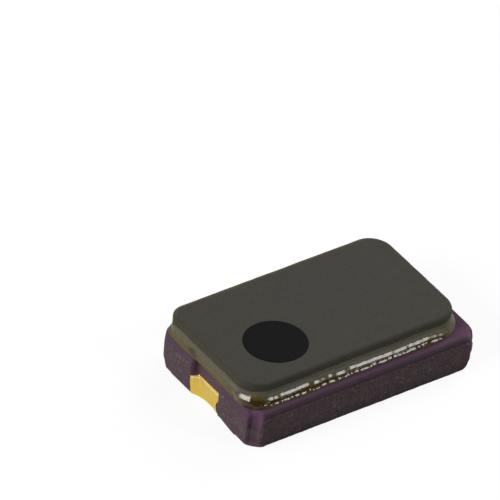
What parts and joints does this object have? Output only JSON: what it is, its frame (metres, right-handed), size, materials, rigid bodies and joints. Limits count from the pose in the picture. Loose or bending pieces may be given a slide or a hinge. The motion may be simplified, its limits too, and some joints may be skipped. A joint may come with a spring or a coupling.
{
  "type": "surface mount quartz crystal",
  "caption": "Flat rectangular quartz crystal in a purple ceramic tray with a dark ceramic lid sealed on by glass, and gold solder pads that wrap up the short sides.",
  "frame": {"origin": "centre of the plane of the two solder pads, on the circuit board's side", "axes": "+X along the length towards the right terminal, +Y across the width, +Z from the solder pads up to the lid"},
  "size_m": [0.005, 0.0032, 0.0012],
  "materials": {
    "purple_ceramic": "matte fired alumina, smooth at the scored edges and rough where broken",
    "gold_plating": "satin gold plating over nickel",
    "gold_track": "satin gold plating over nickel",
    "silver_adhesive": "silver-filled adhesive, dull grey",
    "quartz": "lapped clear quartz",
    "silver_film": "evaporated silver film",
    "sealing_glass": "fired olive-brown sealing glass, glossy",
    "dark_ceramic": "matte dark alumina",
    "marking_ink": "matte black ink"
  },
  "bodies": {
    "root": {"ceramic_base": "purple_ceramic", "left_terminal": "gold_plating", "right_terminal": "gold_plating", "left_inner_track": "gold_track", "right_inner_track": "gold_track", "free_end_pillow": "gold_track", "front_adhesive": "silver_adhesive", "rear_adhesive": "silver_adhesive", "quartz_blank": "quartz", "upper_electrode": "silver_film", "lower_electrode": "silver_film", "sealing_glass": "sealing_glass", "ceramic_lid": "dark_ceramic", "marking_dot": "marking_ink"}
  },
  "joints": []
}
